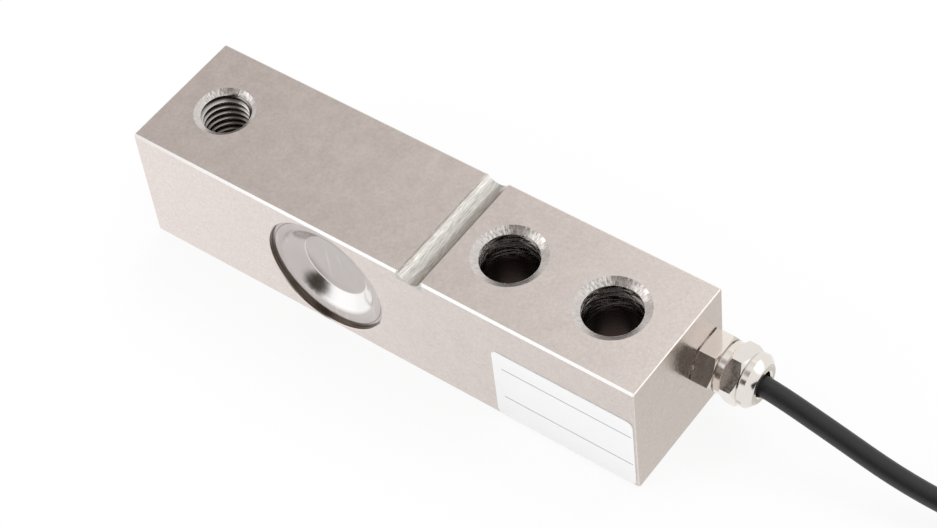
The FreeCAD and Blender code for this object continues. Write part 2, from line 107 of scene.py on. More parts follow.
# Tied hank at the end of the route, with an outer and an inner turn in each row
HANK_CENTRE = (164.6, -3.0)
HANK_HALF_RUN = 46.0
HANK_FOLDS = (18.5, 13.8)
HANK_WAISTS = (7.05, 2.35)
HANK_WAIST_HALF = 8.0
HANK_SHOULDER_HALF = 19.0
HANK_SHOULDER_SHARE = 0.38
HANK_FIRST_HEIGHT = 3.3
HANK_PITCH = 4.7
HANK_ROWS = 5
HANK_FOLD_ANGLE = 120.0
HANK_FOLD_STEPS = 8
HANK_BULGE = 1.6
SLEEVE_START = (39.0, -14.0, 26.95)
SLEEVE_HEADING = 162.0
SLEEVE_LEAD = 5.0
TAIL_RISE = 0.6

# Label
LABEL_RULES = (17.0, 7.65)
LABEL_RULE_HALF = 0.16
LABEL_RULE_ENDS = (-4.6, 27.3)
RULE_GREY = (0.42, 0.42, 0.43, 1)

# Soft half width of a mask's edge, in millimetres
FINE_EDGE = 0.02
SOFT_EDGE = 0.05
BROAD_EDGE = 0.1

# Usual grain of a finish: noise scales per metre and height in millimetres
GRAIN_SCALE = 4000.0
GRAIN_DETAIL = 3.0
GRAIN_RANGE = (0.2, 0.8)
GRAIN_DEPTH = 0.004
CLOUD_SCALE = 90.0
CLOUD_DETAIL = 5.0
CLOUD_ROUGHNESS = 0.6

# Ends of a noise's middle range, and noise of a tool's marks
MIDDLE = (0.3, 0.7)
TOOL_DETAIL = 3.0
TOOL_ROUGHNESS = 0.6

# Steel of the beam: colours, or pairs of a dark and a light one
BEAM_STEEL = ((0.71, 0.640, 0.605, 1), (0.80, 0.726, 0.692, 1))
SPECK_STEEL = (0.36, 0.31, 0.28, 1)
LOAD_END_STEEL = (0.40, 0.365, 0.345, 1)
# Painted highlight on the upper front edge, from dull at the load end to white
EDGE_HIGHLIGHT_STEEL = ((0.76, 0.725, 0.705, 1), (0.98, 0.975, 0.965, 1))
# Walls of the mounting holes: dark, and a painted highlight on their rings
BORE_STEEL_AND_GLINT = ((0.034, 0.021, 0.017, 1), (0.95, 0.87, 0.81, 1))
# Painted shade in the load thread: crests dark deep down and light near the top, and dark roots
CREST_SHADE_BY_DEPTH = ((0.15, 0.115, 0.095, 1), (0.84, 0.79, 0.75, 1))
ROOT_SHADE = (0.05, 0.04, 0.033, 1)
SINK_STEEL = ((0.265, 0.24, 0.22, 1), (0.84, 0.80, 0.775, 1))
GROOVE_STEEL = ((0.36, 0.34, 0.312, 1), (0.76, 0.745, 0.705, 1))
# Painted shade on the pockets' walls, dark and darker
POCKET_SHADE_STEEL = ((0.05, 0.038, 0.030, 1), (0.27, 0.225, 0.19, 1))
BEAM_ROUGH = (0.20, 0.27)
BORE_ROUGH = 0.24
LOAD_END_ROUGH = 0.42

# Marks on the beam: lengths in millimetres, noise scales per metre, heights in units of the relief, angles
# in radians; a range gives the two ends that a value is spread between
BEAM_GRAIN = {"Grain Scale": 1500.0, "Cloud Scale": 240.0}
BEAM_SCRATCHES = {"Stretch": (60.0, 2200.0, 2200.0), "Rarity": 0.58}
BEAM_RELIEF = 0.004
MOTTLE_SCALE = 1300.0
MOTTLE_DETAIL = 4.0
MOTTLE_ROUGHNESS = 0.75
MOTTLE_SHADES = (0.92, 1.06)
SPECK_SCALE = 2300.0
SPECK_DETAIL = 1.0
SPECK_RANGE = (0.70, 0.78)
SPECK_SHARE = 0.30
GRAIN_HEIGHT = 0.8
SCRATCH_HEIGHT = -0.6
END_SKIN = 0.12
END_SOFT = 0.03
PIT_SCALE = 2800.0
PIT_RANGE = (0.42, 0.66)
PIT_HEIGHT = 2.4
EDGE_FADE = (LOAD_END, -55.0)
# Share of metal where highlights are painted on the edge and on the bore rings, and in the sinks
HIGHLIGHT_AND_SINK_METALLIC = 0.1
BORE_FADE = 9.0
RING_STRETCH = (260.0, 260.0, 1300.0)
RING_RANGE = (0.40, 0.60)
RING_HEIGHT = 90.0
SHINE_ANGLE = 0.74
SHINE_RANGE = (0.25, 0.75)
SHINE_SHARES = (0.03, 1.0)
GLINT_RANGE = (0.2, 1.0)
GLINT_SHARES = (0.15, 2.0)
THREAD_SHADE_DEPTH = 13.0
TORN_ANGLE = 2.0
TORN_SHARES = (0.25, 1.0)
TORN_SCALE_ROUND = 15.0
TORN_SCALE_OUT = 800.0
TORN_ROUGHNESS = 0.65
TORN_RANGE = (-0.16, 0.12)
TORN_HEIGHT = 12.0
SINK_SHARE = 0.85
SINK_RUBBED = 0.15
GROOVE_MASK_HALF = 3.3
GROOVE_MASK_DEPTH = 2.2
GROOVE_SKIN = 0.06
GROOVE_SKIN_EDGE = 0.04
STREAK_STRETCH = (8500.0, 420.0, 8500.0)
STREAK_DETAIL = 2.0
STREAK_ROUGHNESS = 0.5
STREAK_RANGE = (0.28, 0.72)
STREAK_HEIGHT = 4.0
STREAK_SHARE = 0.9
POCKET_SKIN = 0.12
TURNED_STRETCH = (120.0, 4200.0, 120.0)

# Steel of the cups
CUP_SCRATCHES = {"Stretch": (1100.0, 500.0, 90.0), "Rarity": 0.60}
CUP_SCRATCH_SHARE = 0.18
CUP_SCRATCH_BUMP = (0.003, 0.6)
CUP_LIGHT_STEEL = (0.92, 0.90, 0.89, 1)
# Painted highlight on one side of the dish's wall
CUP_PAINTED_SHEEN = (0.95, 0.935, 0.925, 1)
CUP_SHEEN_ANGLE = -1.0
CUP_SHEEN_RANGE = (0.3, 0.75)
CUP_SHEEN_EDGE = 0.4
CUP_FLOOR_LINE_HALF = 0.12
CUP_FLOOR_LINE_EDGE = 0.08
CUP_FLOOR_LINE_SHARE = 0.5
CUP_SEAM_STEEL = (0.17, 0.145, 0.13, 1)
CUP_SEAM_HALF = 0.1
CUP_SEAM_EDGE = 0.06
CUP_SEAM_SHARE = 0.7

# Clouded finishes by slot: dark and light colour, range of roughness, and where they aren't the usual ones
# the share of metal, the scales of grain and clouds per metre, and the grain's height in millimetres
METAL = 1.0
PLASTIC = 0.0
FINISHES = {
    "cup_steel": ((0.505, 0.462, 0.448), (0.58, 0.536, 0.522), (0.15, 0.22), METAL, 2200.0, 160.0, 0.0015),
    "gland_metal": ((0.74, 0.69, 0.64), (0.82, 0.78, 0.74), (0.08, 0.16), METAL, 1800.0, 200.0, 0.002),
    "washer_metal": ((0.62, 0.58, 0.52), (0.70, 0.66, 0.60), (0.22, 0.32), METAL, 2500.0, 150.0, 0.002),
    "label_foil": ((0.91, 0.91, 0.92), (0.945, 0.945, 0.95), (0.34, 0.42), PLASTIC, 3000.0, 60.0, 0.001),
    "gauge_film": ((0.62, 0.36, 0.10), (0.70, 0.43, 0.14), (0.30, 0.40)),
    "gauge_metal": ((0.60, 0.52, 0.44), (0.68, 0.60, 0.52), (0.28, 0.36), METAL, 5000.0, 300.0, 0.001),
    "gauge_coat": ((0.78, 0.76, 0.70), (0.84, 0.82, 0.77), (0.28, 0.38)),
    "board": ((0.05, 0.20, 0.09), (0.07, 0.25, 0.12), (0.35, 0.45)),
    "pads": ((0.72, 0.71, 0.69), (0.80, 0.79, 0.77), (0.24, 0.34), METAL),
    "resistors": ((0.03, 0.03, 0.032), (0.05, 0.05, 0.052), (0.40, 0.50)),
    "jumper_wire": ((0.60, 0.30, 0.16), (0.68, 0.36, 0.20), (0.25, 0.35), METAL),
    "red_core": ((0.50, 0.025, 0.02), (0.58, 0.035, 0.028), (0.36, 0.46)),
    "black_core": ((0.014, 0.014, 0.015), (0.024, 0.024, 0.025), (0.36, 0.46)),
    "green_core": ((0.02, 0.24, 0.06), (0.03, 0.30, 0.08), (0.36, 0.46)),
    "white_core": ((0.78, 0.78, 0.76), (0.84, 0.84, 0.82), (0.36, 0.46)),
    "tinned_copper": ((0.66, 0.64, 0.61), (0.76, 0.74, 0.71), (0.26, 0.36), METAL, 6000.0, 400.0, 0.004),
    "seal_rubber": ((0.018, 0.018, 0.019), (0.03, 0.03, 0.031), (0.55, 0.68)),
    "cable_jacket": (
        (0.008, 0.0075, 0.008), (0.017, 0.016, 0.017), (0.36, 0.48), PLASTIC, 2600.0, 150.0, 0.012),
    "tie_plastic": (
        (0.016, 0.016, 0.017), (0.026, 0.026, 0.027), (0.40, 0.52), PLASTIC, 2000.0, 150.0, 0.006),
    "sleeve_plastic": (
        (0.014, 0.014, 0.015), (0.022, 0.022, 0.023), (0.44, 0.56), PLASTIC, 2400.0, 200.0, 0.008),
}

# Shading of bends: points closer than the distance in metres are joined, and edges flatter than the limit
# in degrees are smooth
JOIN_DISTANCE = 1e-6
SMOOTH_LIMIT = 28.0
FACE_WEIGHT = 100

# Studio: lengths in metres, and each softbox with its name, place, size and power in watts
FLOOR_SIZE = 8.0
FLOOR_DROP = 0.0002
FLOOR_GLOW = 0.86
FLOOR_PAPER = (0.96, 0.96, 0.96, 1)
WORLD_GREY = (0.85, 0.85, 0.85, 1)
SOFTBOX_AIM = (-0.03, 0, 0.02)
SOFTBOXES = (
    ("softbox_left", (-0.75, -0.85, 0.65), (0.7, 0.5), 2.5),
    ("softbox_top", (-0.1, 0.55, 1.0), (0.8, 0.6), 3.0),
)
ROOM_WHITE = (1.0, 1.0, 1.0, 1)
# Soft patches of the room that reflections show: direction, inner and outer angle in degrees, colour
ROOM_PATCHES = (
    ((0.45, 0.45, -0.77), 12.0, 34.0, (0.66, 0.65, 0.62, 1)),
    ((0.33, 0.40, -0.855), 3.2, 5.6, (0.95, 0.94, 0.91, 1)),
    ((0.35, 0.56, -0.75), 3.0, 4.6, (1.00, 0.99, 0.96, 1)),
    ((-0.74, 0.30, 0.60), 14.0, 34.0, (0.56, 0.53, 0.51, 1)),
    ((-0.16, 0.56, 0.81), 8.0, 14.0, (1.20, 1.19, 1.18, 1)),
    ((-0.45, -0.50, -0.74), 2.0, 8.0, (0.84, 0.83, 0.82, 1)),
    ((-0.28, -0.34, -0.90), 3.0, 13.0, (0.72, 0.71, 0.70, 1)),
    ((-0.66, -0.40, -0.64), 4.0, 18.0, (1.10, 1.10, 1.10, 1)),
    ((-0.72, -0.27, 0.64), 8.0, 16.0, (1.70, 1.70, 1.70, 1)),
    ((-0.64, -0.72, 0.25), 16.0, 28.0, (1.08, 1.08, 1.08, 1)),
    ((-0.50, -0.76, 0.42), 4.0, 12.0, (1.15, 1.15, 1.15, 1)),
    ((-0.80, -0.58, -0.10), 14.0, 24.0, (1.06, 1.06, 1.06, 1)),
    ((-0.84, -0.35, -0.38), 12.0, 22.0, (0.98, 0.98, 0.98, 1)),
    ((0.77, 0.47, 0.43), 12.0, 24.0, (1.60, 1.60, 1.60, 1)),
    ((-0.06, -0.38, 0.92), 12.0, 22.0, (0.26, 0.23, 0.21, 1)),
    ((0.02, -0.86, 0.51), 21.0, 23.0, (0.048, 0.036, 0.027, 1)),
    ((0.36, -0.93, 0.10), 3.0, 19.0, (0.060, 0.047, 0.037, 1)),
    ((0.08, -0.99, 0.08), 5.0, 19.0, (0.060, 0.047, 0.037, 1)),
)


def smooth_step(share):
    """Soft change from 0 to 1."""
    share = min(max(share, 0.0), 1.0)
    return share * share * (3 - 2 * share)


# Camera
def make_camera():
    """The photograph's camera."""
    data = bpy.data.cameras.new("camera")
    data.lens = LENS
    data.sensor_width = SENSOR
    data.clip_start, data.clip_end = CLIP
    camera = bpy.data.objects.new("camera", data)
    camera.location = Vector(CAMERA_PLACE) * MM
    turn = math.radians(CAMERA_AZIMUTH)
    tilt = math.radians(CAMERA_ELEVATION)
    aim = Vector((-math.sin(turn) * math.cos(tilt), math.cos(turn) * math.cos(tilt), -math.sin(tilt)))
    roll = Quaternion((0, 0, 1), math.radians(CAMERA_ROLL))
    camera.rotation_mode = "QUATERNION"
    camera.rotation_quaternion = aim.to_track_quat("-Z", "Y") @ roll
    bpy.context.scene.collection.objects.link(camera)
    bpy.context.scene.camera = camera


# Cable
def hank_places():
    """Column and height of each turn, wound inwards in one row and outwards in the next."""
    places = []
    for row in range(HANK_ROWS):
        columns = (0, 1) if row % 2 == 0 else (1, 0)
        places += [(column, HANK_FIRST_HEIGHT + row * HANK_PITCH) for column in columns]
    return places


def fold_points(side, here, there):
    """Round end of a turn on one side of the hank, moving from one place to another."""
    steps = HANK_FOLD_STEPS
    points = []
    for step in range(steps + 1):
        share = smooth_step(step / steps)
        radius = HANK_FOLDS[here[0]] + (HANK_FOLDS[there[0]] - HANK_FOLDS[here[0]]) * share
        height = here[1] + (there[1] - here[1]) * share
        if there[1] > here[1]:
            outward = 1 if here[0] == 0 else -1
            radius += outward * HANK_BULGE * math.sin(math.pi * share) ** 2
        angle = math.radians(HANK_FOLD_ANGLE * (1 - 2 * step / steps))
        reach = radius / math.cos(math.radians(HANK_FOLD_ANGLE / steps))
        points.append((
            side * (HANK_HALF_RUN + reach * math.cos(angle)),
            side * reach * math.sin(angle),
            height,
        ))
    return points


def waist_points(side, place):
    """Run between the round ends, drawn in at the tie."""
    waist = HANK_WAISTS[place[0]]
    shoulder = waist + (HANK_FOLDS[place[0]] - waist) * HANK_SHOULDER_SHARE
    stations = (-HANK_SHOULDER_HALF, -HANK_WAIST_HALF, HANK_WAIST_HALF, HANK_SHOULDER_HALF)
    offsets = (shoulder, waist, waist, shoulder)
    return [(side * along, side * across, place[1]) for along, across in zip(stations, offsets)]


def tail_points(place):
    """Last round end, which climbs onto the hank and comes in to the sleeve."""
    heading = math.radians(SLEEVE_HEADING)
    ahead = (math.cos(heading), math.sin(heading))
    climb = fold_points(1, place, place)[:-1]
    points = []
    for step, (along, across, height) in enumerate(climb):
        rise = smooth_step(step / HANK_FOLD_STEPS / TAIL_RISE)
        points.append((along, across, height + (SLEEVE_START[2] - height) * rise))
    for lead in (-SLEEVE_LEAD, 0.0):
        along = SLEEVE_START[0] + lead * ahead[0]
        across = SLEEVE_START[1] + lead * ahead[1]
        points.append((along, across, SLEEVE_START[2]))
    return points


def hank_points():
    """Control points of the hank, from its first run to the sleeve, in the hank's own frame."""
    places = hank_places()
    first = places[0]
    points = fold_points(-1, first, first)[-1:] + waist_points(1, first)
    points += fold_points(1, first, first) + waist_points(-1, first) + fold_points(-1, first, places[1])
    for here, there in zip(places[1:-1], places[2:]):
        points += waist_points(1, here) + fold_points(1, here, there)
        points += waist_points(-1, there) + fold_points(-1, there, there)
    return points + waist_points(1, places[-1]) + tail_points(places[-1])


def cable_points():
    """Control points of the whole route."""
    hank = [(x + HANK_CENTRE[0], y + HANK_CENTRE[1], z) for x, y, z in hank_points()]
    return [Vector(point) * MM for point in list(CABLE_ROUTE) + hank]


def make_cable():
    """Tube along the route's spline."""
    data = bpy.data.curves.new("cable_route", "CURVE")
    data.dimensions = "3D"
    data.resolution_u = CABLE_ROUTE_STEPS
    points = cable_points()
    spline = data.splines.new("NURBS")
    spline.points.add(len(points) - 1)
    for place, point in zip(spline.points, points):
        place.co = (*point, 1)
    spline.order_u = CABLE_ROUTE_ORDER
    spline.use_endpoint_u = True
    route = bpy.data.objects.new("cable_route", data)
    line = bpy.data.meshes.new_from_object(route)
    bpy.data.meshes.remove(line)
    data.bevel_depth = CABLE_DIAMETER / 2 * MM
    data.bevel_resolution = CABLE_ROUNDNESS
    data.use_fill_caps = True
    cable = bpy.data.objects.new("cable_jacket", bpy.data.meshes.new_from_object(route))
    bpy.data.curves.remove(data)
    bpy.context.scene.collection.objects.link(cable)
    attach(cable, "root")
    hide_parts("cable", "cable_hank")
    return cable


# Shader wiring
class Wiring:
    """A node tree with short calls to add and join nodes."""

    def __init__(self, tree):
        self.tree = tree

    def add(self, kind, inputs=None, **settings):
        node = self.tree.nodes.new(kind)
        for name, value in settings.items():
            setattr(node, name, value)
        for name, value in (inputs or {}).items():
            self.feed(node.inputs[name], value)
        return node

    def feed(self, socket, value):
        if isinstance(value, bpy.types.NodeSocket):
            self.tree.links.new(value, socket)
        else:
            socket.default_value = value

    def math(self, operation, first, second=0.0):
        return self.add("ShaderNodeMath", {0: first, 1: second}, operation=operation).outputs[0]

    def multiply(self, *values):
        product = values[0]
        for value in values[1:]:
            product = self.math("MULTIPLY", product, value)
        return product

    def highest(self, *values):
        top = values[0]
        for value in values[1:]:
            top = self.math("MAXIMUM", top, value)
        return top

    def spread(self, value, low, high, start=0.0, end=1.0, smooth=False):
        """Value between low and high, brought to the range from start to end."""
        sockets = {"Value": value, "From Min": low, "From Max": high, "To Min": start, "To Max": end}
        kind = "SMOOTHSTEP" if smooth else "LINEAR"
        return self.add("ShaderNodeMapRange", sockets, interpolation_type=kind).outputs["Result"]

    def below(self, value, limit, soft):
        """Mask of 1 where a value in metres is under a limit in millimetres."""
        return self.spread(value, (limit - soft) * MM, (limit + soft) * MM, 1.0, 0.0)

    def above(self, value, limit, soft):
        """Mask of 1 where a value in metres is over a limit in millimetres."""
        return self.spread(value, (limit - soft) * MM, (limit + soft) * MM)

    def off(self, value, place):
        """How far a value in metres is from a place in millimetres."""
        return self.math("ABSOLUTE", self.math("SUBTRACT", value, place * MM))

    def facing(self, angle, direction):
        """1 where an angle is that of a direction, and -1 on the opposite side."""
        return self.math("COSINE", self.math("SUBTRACT", angle, direction))

    def blend(self, share, first, second, mode="MIX"):
        """Colour between two colours, by the sockets that a Mix node has for colours."""
        node = self.add("ShaderNodeMix", data_type="RGBA", blend_type=mode)
        self.feed(node.inputs[0], share)
        self.feed(node.inputs[6], first)
        self.feed(node.inputs[7], second)
        return node.outputs[2]

    def place(self):
        """Point of the surface in the CAD frame, in metres."""
        return self.add("ShaderNodeTexCoord").outputs["Object"]

    def axes(self):
        """The same point as its three coordinates."""
        return self.add("ShaderNodeSeparateXYZ", {0: self.place()}).outputs

    def stretched(self, scale):
        sockets = {0: self.place(), 1: scale}
        return self.add("ShaderNodeVectorMath", sockets, operation="MULTIPLY").outputs[0]

    def noise(self, scale, detail=2.0, vector=None, roughness=0.5):
        sockets = {"Scale": scale, "Detail": detail, "Roughness": roughness}
        sockets["Vector"] = self.place() if vector is None else vector
        return self.add("ShaderNodeTexNoise", sockets).outputs["Fac"]

    def tool_marks(self, stretch, detail=TOOL_DETAIL, roughness=TOOL_ROUGHNESS):
        """Noise drawn out along the axes with a small stretch."""
        return self.noise(1.0, detail, self.stretched(stretch), roughness)

    def effect(self, tree, **inputs):
        """Places a shared effect with its own values."""
        node = self.add("ShaderNodeGroup", node_tree=tree)
        for name, value in inputs.items():
            self.feed(node.inputs[name], value)
        return node.outputs


def new_effect(name, inputs, outputs):
    """Empty shader group, with floats or vectors as its inputs and floats as its outputs."""
    tree = bpy.data.node_groups.new(name, "ShaderNodeTree")
    for socket, value in inputs.items():
        kind = "NodeSocketVector" if isinstance(value, tuple) else "NodeSocketFloat"
        tree.interface.new_socket(socket, in_out="INPUT", socket_type=kind).default_value = value
    for socket in outputs:
        tree.interface.new_socket(socket, in_out="OUTPUT", socket_type="NodeSocketFloat")
    wiring = Wiring(tree)
    return tree, wiring, wiring.add("NodeGroupInput").outputs, wiring.add("NodeGroupOutput").inputs


def make_grain():
    """Fine grain and broad clouds, for every surface that isn't quite even."""
    sizes = {"Grain Scale": GRAIN_SCALE, "Cloud Scale": CLOUD_SCALE}
    tree, wiring, given, made = new_effect("grain", sizes, ["Grain", "Clouds"])
    wiring.feed(made["Grain"], wiring.noise(given["Grain Scale"], GRAIN_DETAIL))
    clouds = wiring.noise(given["Cloud Scale"], CLOUD_DETAIL, roughness=CLOUD_ROUGHNESS)
    wiring.feed(made["Clouds"], clouds)
    return tree


def make_hairlines():
    """Thin straight scratches along the axis with the smallest stretch."""
    sizes = {"Stretch": (60.0, 3000.0, 3000.0), "Rarity": 0.62, "Softness": 0.12}
    tree, wiring, given, made = new_effect("hairlines", sizes, ["Lines"])
    field = wiring.noise(1.0, vector=wiring.stretched(given["Stretch"]))
    edge = wiring.math("ADD", given["Rarity"], given["Softness"])
    wiring.feed(made["Lines"], wiring.spread(field, given["Rarity"], edge))
    return tree


def make_round_places():
    """Distance from an axis and angle round it, for marks that run round a hole or a dish."""
    places = {"Across": 0.0, "Along": 0.0, "Centre Across": 0.0, "Centre Along": 0.0}
    tree, wiring, given, made = new_effect("round_places", places, ["Distance", "Angle"])
    across = wiring.math("SUBTRACT", given["Across"], given["Centre Across"])
    along = wiring.math("SUBTRACT", given["Along"], given["Centre Along"])
    square = wiring.math("ADD", wiring.multiply(across, across), wiring.multiply(along, along))
    wiring.feed(made["Distance"], wiring.math("SQRT", square))
    wiring.feed(made["Angle"], wiring.math("ARCTAN2", along, across))
    return tree


def new_material(name):
    """New material, with its wiring and its shader's inputs."""
    material = bpy.data.materials.new(name)
    material.use_nodes = True
    wiring = Wiring(material.node_tree)
    shader = material.node_tree.nodes["Principled BSDF"]
    return material, wiring, shader.inputs


def bump(wiring, height, distance, strength=1.0, under=None):
    """Normal of a relief, whose height of 1 stands for a distance in millimetres."""
    sockets = {"Height": height, "Distance": distance * MM, "Strength": strength}
    if under is not None:
        sockets["Normal"] = under
    return wiring.add("ShaderNodeBump", sockets).outputs["Normal"]


grain = make_grain()
hairlines = make_hairlines()
round_places = make_round_places()


def round_field(wiring, across, along, centre):
    """Places the round effect in the plane of two coordinates, with its axis at a centre."""
    middle = {"Centre Across": centre[0] * MM, "Centre Along": centre[1] * MM}
    return wiring.effect(round_places, Across=across, Along=along, **middle)


def make_finish(name, dark, light, rough, metallic=PLASTIC,
                grain_scale=GRAIN_SCALE, cloud_scale=CLOUD_SCALE, depth=GRAIN_DEPTH):
    """Finish with clouded colour, uneven gloss and a fine grain."""
    material, wiring, shader = new_material(name)
    field = wiring.effect(grain, **{"Grain Scale": grain_scale, "Cloud Scale": cloud_scale})
    wiring.feed(shader["Base Color"], wiring.blend(field["Clouds"], dark + (1,), light + (1,)))
    wiring.feed(shader["Roughness"], wiring.spread(field["Grain"], *GRAIN_RANGE, *rough))
    shader["Metallic"].default_value = metallic
    wiring.feed(shader["Normal"], bump(wiring, field["Grain"], depth))
    return material, wiring, shader


class Surface:
    """Colour and height of a finish, with marks laid over them one by one."""

    def __init__(self, wiring, colour, height):
        self.wiring = wiring
        self.axes = wiring.axes()
        self.colour = colour
        self.height = height

    def paint(self, share, colour):
        self.colour = self.wiring.blend(share, self.colour, colour)

    def add_height(self, *values):
        self.height = self.wiring.math("ADD", self.height, self.wiring.multiply(*values))


# Beam
def mark_ends(steel):
    """Coarser grain of the end faces, and the darker steel of the load end."""
    wiring = steel.wiring
    cable_end = wiring.above(steel.axes["X"], BEAM_END - END_SKIN, END_SOFT)
    load_end = wiring.below(steel.axes["X"], LOAD_END + END_SKIN, END_SOFT)
    pits = wiring.spread(wiring.noise(PIT_SCALE), *PIT_RANGE)
    steel.add_height(wiring.highest(cable_end, load_end), pits, PIT_HEIGHT)
    steel.paint(load_end, LOAD_END_STEEL)
    return load_end


def paint_edge_highlight(steel):
    """Upper front edge with a painted highlight, white and duller towards the load end."""
    wiring = steel.wiring
    front = wiring.below(steel.axes["Y"], EDGE_CHAMFER - BEAM_HALF, FINE_EDGE)
    upper = wiring.above(steel.axes["Z"], BEAM_TOP - EDGE_CHAMFER, FINE_EDGE)
    edge = wiring.multiply(front, upper)
    bright = wiring.spread(steel.axes["X"], EDGE_FADE[0] * MM, EDGE_FADE[1] * MM)
    # The edge's colour is a painted highlight
    steel.paint(edge, wiring.blend(bright, *EDGE_HIGHLIGHT_STEEL))
    return edge


def hole_field(steel, hole_x, sink_radius, sink_depth):
    """Distance from a hole's axis and angle round it, with masks of its sink and of its wall."""
    wiring = steel.wiring
    field = round_field(wiring, steel.axes["X"], steel.axes["Y"], (hole_x, 0.0))
    inside = wiring.below(field["Distance"], sink_radius + FINE_EDGE, FINE_EDGE)
    sink_floor = BEAM_TOP - sink_depth
    return {
        "distance": field["Distance"],
        "angle": field["Angle"],
        "sink": wiring.multiply(inside, wiring.above(steel.axes["Z"], sink_floor, SOFT_EDGE)),
        "wall": wiring.multiply(inside, wiring.below(steel.axes["Z"], sink_floor, SOFT_EDGE)),
    }


def mark_mount_walls(steel, holes):
    """Dark walls of the mounting holes, with a drill's rings and a painted highlight on them on two sides
    near the mouth.
    """
    wiring = steel.wiring
    walls = 0.0
    shine = 0.0
    for hole in holes:
        sideways = wiring.math("ABSOLUTE", wiring.facing(hole["angle"], SHINE_ANGLE))
        lit = wiring.spread(sideways, *SHINE_RANGE, *SHINE_SHARES)
        walls = wiring.highest(walls, hole["wall"])
        shine = wiring.highest(shine, wiring.multiply(hole["wall"], lit))
    rings = wiring.spread(wiring.tool_marks(RING_STRETCH), *RING_RANGE)
    mouth = wiring.spread(steel.axes["Z"], (BEAM_TOP - BORE_FADE) * MM, BEAM_TOP * MM)
    steel.add_height(walls, mouth, rings, RING_HEIGHT)
    # Painted highlight on the rings near the mouth, on two sides
    painted_glint = wiring.multiply(shine, mouth, mouth, wiring.spread(rings, *GLINT_RANGE, *GLINT_SHARES))
    steel.paint(walls, wiring.blend(painted_glint, *BORE_STEEL_AND_GLINT))
    return walls, painted_glint


def paint_thread_shade(steel, hole):
    """Painted shade in the load thread: dark roots, and crests painted darker with depth."""
    wiring = steel.wiring
    root = wiring.spread(hole["distance"], THREAD_CREST_RADIUS * MM, THREAD_MAJOR_RADIUS * MM)
    shallow = wiring.spread(steel.axes["Z"], (BEAM_TOP - THREAD_SHADE_DEPTH) * MM, BEAM_TOP * MM)
    # Crests painted darker with depth, and roots painted dark, as shade
    shaded_crest = wiring.blend(shallow, *CREST_SHADE_BY_DEPTH)
    steel.paint(hole["wall"], wiring.blend(root, shaded_crest, ROOT_SHADE))


def mark_sinks(steel, holes):
    """Torn marks that run outwards in the sinks, strongest on one side."""
    wiring = steel.wiring
    torn = 0.0
    sinks = 0.0
    for hole in holes:
        turns = wiring.multiply(hole["angle"], TORN_SCALE_ROUND)
        outwards = wiring.multiply(hole["distance"], TORN_SCALE_OUT)
        rays = wiring.add("ShaderNodeCombineXYZ", {0: turns, 1: outwards}).outputs[0]
        marks = wiring.math("SUBTRACT", wiring.noise(1.0, TOOL_DETAIL, rays, TORN_ROUGHNESS), 0.5)
        share = wiring.spread(wiring.facing(hole["angle"], TORN_ANGLE), *MIDDLE, *TORN_SHARES)
        torn = wiring.math("ADD", wiring.multiply(hole["sink"], marks, share), torn)
        sinks = wiring.highest(sinks, hole["sink"])
    steel.add_height(torn, TORN_HEIGHT)
    torn_colour = wiring.blend(wiring.spread(torn, *TORN_RANGE), *SINK_STEEL)
    steel.paint(wiring.multiply(sinks, SINK_SHARE), torn_colour)
    return sinks


def mark_groove(steel):
    """Cutter marks along the groove."""
    wiring = steel.wiring
    across = wiring.below(wiring.off(steel.axes["X"], GROOVE_X), GROOVE_MASK_HALF, SOFT_EDGE)
    low = wiring.below(steel.axes["Z"], BEAM_TOP - GROOVE_SKIN, GROOVE_SKIN_EDGE)
    high = wiring.above(steel.axes["Z"], BEAM_TOP - GROOVE_MASK_DEPTH, BROAD_EDGE)
    groove = wiring.multiply(across, low, high)
    cuts = wiring.tool_marks(STREAK_STRETCH, STREAK_DETAIL, STREAK_ROUGHNESS)
    streaks = wiring.spread(cuts, *STREAK_RANGE)
    steel.add_height(groove, streaks, STREAK_HEIGHT)
    steel.paint(wiring.multiply(groove, STREAK_SHARE), wiring.blend(streaks, *GROOVE_STEEL))


def paint_pocket_shade(steel):
    """Wall of the pockets, painted dark as shade, with turned marks."""
    wiring = steel.wiring
    reach = round_field(wiring, steel.axes["X"], steel.axes["Z"], (POCKET_X, POCKET_Z))["Distance"]
    within = wiring.below(reach, POCKET_RADIUS + FINE_EDGE, FINE_EDGE)
    sunk = wiring.below(wiring.math("ABSOLUTE", steel.axes["Y"]), BEAM_HALF - POCKET_SKIN, SOFT_EDGE)
    turned = wiring.spread(wiring.tool_marks(TURNED_STRETCH), *MIDDLE)
    # The pocket wall's colour is painted shade
    steel.paint(wiring.multiply(within, sunk), wiring.blend(turned, *POCKET_SHADE_STEEL))


